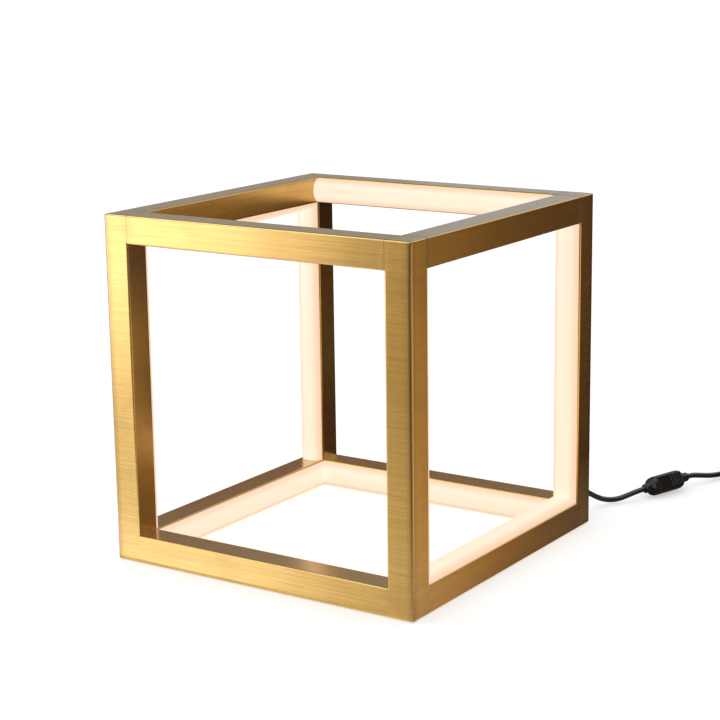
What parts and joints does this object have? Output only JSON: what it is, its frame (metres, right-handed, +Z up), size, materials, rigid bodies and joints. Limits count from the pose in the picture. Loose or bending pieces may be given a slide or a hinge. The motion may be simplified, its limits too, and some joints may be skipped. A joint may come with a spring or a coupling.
{
  "type": "led table lamp",
  "caption": "Open cube table lamp of square brushed brass bars with domed opal light lines along their inner sides, and a thin black lead with an in-line rocker switch and a plug-in adapter.",
  "frame": {"origin": "middle of the cube's underside, on the surface it stands on", "axes": "+Z up, -Y the front, +X to the right of someone facing the front"},
  "size_m": [0.3509, 0.5708, 0.25],
  "materials": {
    "brass": "brushed antique brass",
    "opal": "opal acrylic, lit from inside",
    "light_strip": "white ribbon with light chips",
    "jumper": "flat flexible link",
    "black_flex": "satin black sheath",
    "black_plastic": "satin black moulding",
    "steel": "zinc-plated",
    "plated_blade": "nickel-plated",
    "tie_fabric": "woven strap"
  },
  "bodies": {
    "lamp": {"adapter_blades": "plated_blade", "adapter_case": "black_plastic", "adapter_face": "black_plastic", "adapter_relief": "black_flex", "coil_tie": "tie_fabric", "cord_coil": "black_flex", "cord_end": "black_flex", "cord_gland": "black_flex", "cord_run": "black_flex", "cord_tail": "black_flex", "diffuser_post_back_left": "opal", "diffuser_post_back_right": "opal", "diffuser_post_front_left": "opal", "diffuser_post_front_right": "opal", "diffuser_rail_bottom_back": "opal", "diffuser_rail_bottom_front": "opal", "diffuser_rail_bottom_left": "opal", "diffuser_rail_bottom_right": "opal", "diffuser_rail_top_back": "opal", "diffuser_rail_top_front": "opal", "diffuser_rail_top_left": "opal", "diffuser_rail_top_right": "opal", "post_back_left": "brass", "post_back_right": "brass", "post_front_left": "brass", "post_front_right": "brass", "rail_bottom_back": "brass", "rail_bottom_front": "brass", "rail_bottom_left": "brass", "rail_bottom_right": "brass", "rail_top_back": "brass", "rail_top_front": "brass", "rail_top_left": "brass", "rail_top_right": "brass", "strip_bottom": "light_strip", "strip_jumpers": "jumper", "strip_left": "light_strip", "strip_right": "light_strip", "strip_top": "light_strip", "switch_base": "black_plastic", "switch_cover": "black_plastic", "switch_pivot": "steel", "switch_screws": "steel"},
    "rocker": {"switch_rocker": "black_plastic"}
  },
  "joints": [
    {"name": "rocker_hinge", "type": "hinge", "parent": "lamp", "child": "rocker", "pos_m": [0.14363, 0.22355, 0.0091], "axis": [-0.4791, 0.1431, 0.866], "range_deg": [0, 12]}
  ]
}
